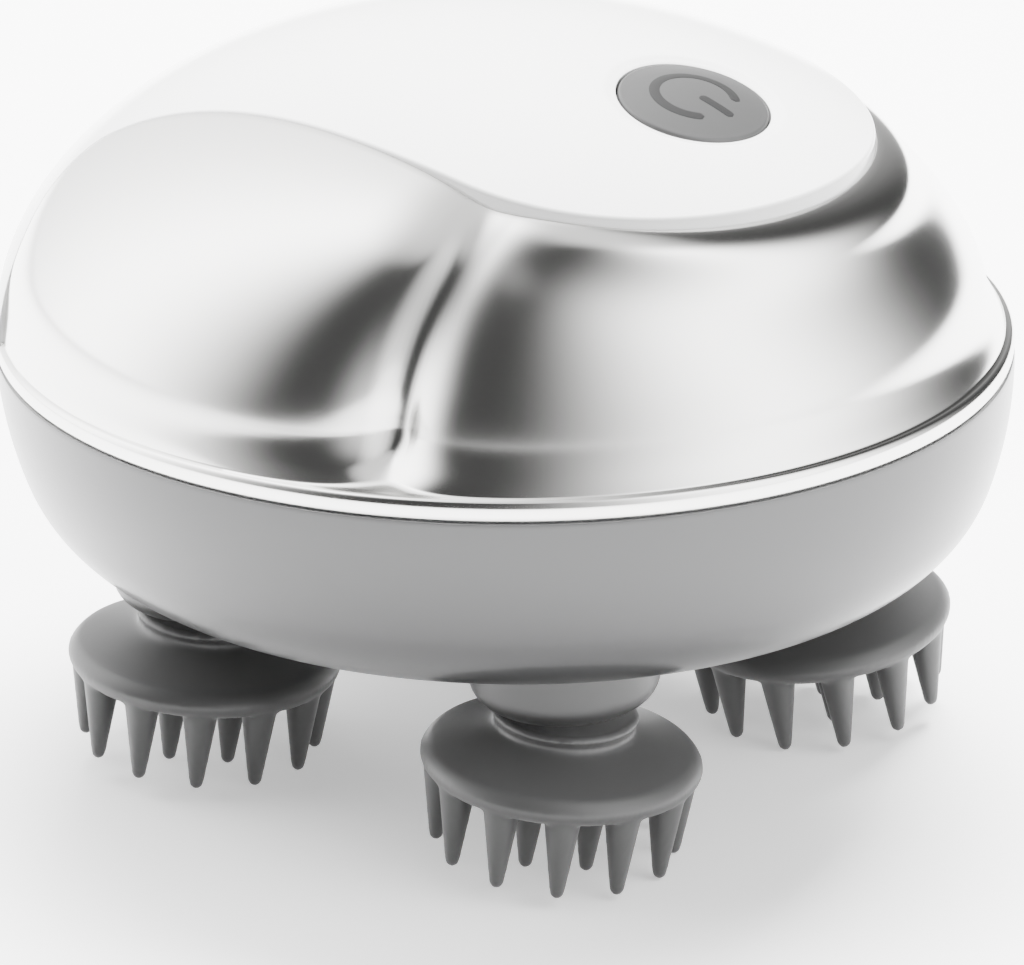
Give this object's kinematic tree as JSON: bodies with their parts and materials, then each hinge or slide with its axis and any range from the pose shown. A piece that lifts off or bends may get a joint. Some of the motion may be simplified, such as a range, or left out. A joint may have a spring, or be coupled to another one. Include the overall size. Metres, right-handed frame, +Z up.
{
  "type": "electric scalp massager",
  "caption": "Palm-sized electric scalp massager: oval dome body with a chrome waist and power button over wobbling silicone heads of tapered pegs.",
  "frame": {"origin": "on the ground under the middle of the body, where the peg tips stand", "axes": "+X along the body to the button end, +Y to the device's left, +Z up"},
  "size_m": [0.114, 0.1026, 0.0825],
  "materials": {
    "white_shell": "high gloss white moulding",
    "chrome": "bright chrome plating on plastic",
    "gray_shell": "gloss gray moulding",
    "button_gray": "fine matt texture",
    "silicone": "satin dark gray silicone",
    "collar_plastic": "satin",
    "dark_plastic": "satin black",
    "board": "solder mask",
    "gold_contact": "gold plated",
    "cell_wrap": "shrink wrap",
    "motor_can": "plated steel can",
    "steel": "ground steel",
    "brass": "machined",
    "bush_bronze": "sintered bronze",
    "gear_plastic": "natural acetal",
    "frame_plastic": "moulded, fine matt",
    "seal_rubber": "soft black rubber"
  },
  "bodies": {
    "housing": {"top_cover": "white_shell", "chrome_band": "chrome", "lower_shell": "gray_shell", "rim_gasket": "seal_rubber", "housing_screws": "steel", "tact_switch": "dark_plastic", "circuit_board": "board", "board_screws": "steel", "charge_socket": "dark_plastic", "charge_contacts": "gold_contact", "charge_magnets": "steel", "battery": "cell_wrap", "motor": "motor_can", "motor_screws": "steel", "compound_axle": "steel", "sun_axle": "steel", "gearbox_base": "frame_plastic", "gearbox_cover": "frame_plastic", "gearbox_screws": "steel", "head_collar_front_left": "collar_plastic", "shaft_seal_front_left": "seal_rubber", "lower_bush_front_left": "bush_bronze", "upper_bush_front_left": "bush_bronze", "head_collar_front_right": "collar_plastic", "shaft_seal_front_right": "seal_rubber", "lower_bush_front_right": "bush_bronze", "upper_bush_front_right": "bush_bronze", "head_collar_rear_left": "collar_plastic", "shaft_seal_rear_left": "seal_rubber", "lower_bush_rear_left": "bush_bronze", "upper_bush_rear_left": "bush_bronze", "head_collar_rear_right": "collar_plastic", "shaft_seal_rear_right": "seal_rubber", "lower_bush_rear_right": "bush_bronze", "upper_bush_rear_right": "bush_bronze"},
    "button": {"power_button": "button_gray", "switch_plunger": "dark_plastic"},
    "sun": {"sun_gear": "gear_plastic"},
    "compound": {"compound_gear": "gear_plastic"},
    "rotor": {"motor_shaft": "steel", "motor_pinion": "brass"},
    "head_front_left": {"massage_head_front_left": "silicone", "head_core_front_left": "frame_plastic", "drive_shaft_front_left": "steel", "head_gear_front_left": "gear_plastic"},
    "head_front_right": {"massage_head_front_right": "silicone", "head_core_front_right": "frame_plastic", "drive_shaft_front_right": "steel", "head_gear_front_right": "gear_plastic"},
    "head_rear_left": {"massage_head_rear_left": "silicone", "head_core_rear_left": "frame_plastic", "drive_shaft_rear_left": "steel", "head_gear_rear_left": "gear_plastic"},
    "head_rear_right": {"massage_head_rear_right": "silicone", "head_core_rear_right": "frame_plastic", "drive_shaft_rear_right": "steel", "head_gear_rear_right": "gear_plastic"}
  },
  "joints": [
    {"name": "power_press", "type": "slide", "parent": "housing", "child": "button", "axis": [-0.2567, 0, -0.9665], "range_m": [0, 0.0008], "stiffness_N_per_m": 900},
    {"name": "sun_spin", "type": "hinge", "parent": "housing", "child": "sun", "pos_m": [0, 0, 0.03693], "axis": [0, 0, 1], "continuous": true},
    {"name": "compound_spin", "type": "hinge", "parent": "housing", "child": "compound", "pos_m": [-0.0228, 0, 0.04193], "axis": [0, 0, 1], "continuous": true},
    {"name": "motor_spin", "type": "hinge", "parent": "housing", "child": "rotor", "pos_m": [-0.00705, 0, 0.04293], "axis": [0, 0, 1], "continuous": true},
    {"name": "head_front_left_spin", "type": "hinge", "parent": "housing", "child": "head_front_left", "pos_m": [0.0245, 0.02241, 0.02693], "axis": [0, 0, 1], "continuous": true},
    {"name": "head_front_right_spin", "type": "hinge", "parent": "housing", "child": "head_front_right", "pos_m": [0.0245, -0.02241, 0.02693], "axis": [0, 0, 1], "continuous": true},
    {"name": "head_rear_left_spin", "type": "hinge", "parent": "housing", "child": "head_rear_left", "pos_m": [-0.0245, 0.02241, 0.02693], "axis": [0, 0, 1], "continuous": true},
    {"name": "head_rear_right_spin", "type": "hinge", "parent": "housing", "child": "head_rear_right", "pos_m": [-0.0245, -0.02241, 0.02693], "axis": [0, 0, 1], "continuous": true}
  ],
  "couplings": [
    {"joint": "compound_spin", "follows": "sun_spin", "ratio": -5.3333},
    {"joint": "motor_spin", "follows": "sun_spin", "ratio": 32},
    {"joint": "head_front_left_spin", "follows": "sun_spin", "ratio": -1.3714},
    {"joint": "head_front_right_spin", "follows": "sun_spin", "ratio": -1.3714},
    {"joint": "head_rear_left_spin", "follows": "sun_spin", "ratio": -1.3714},
    {"joint": "head_rear_right_spin", "follows": "sun_spin", "ratio": -1.3714}
  ]
}
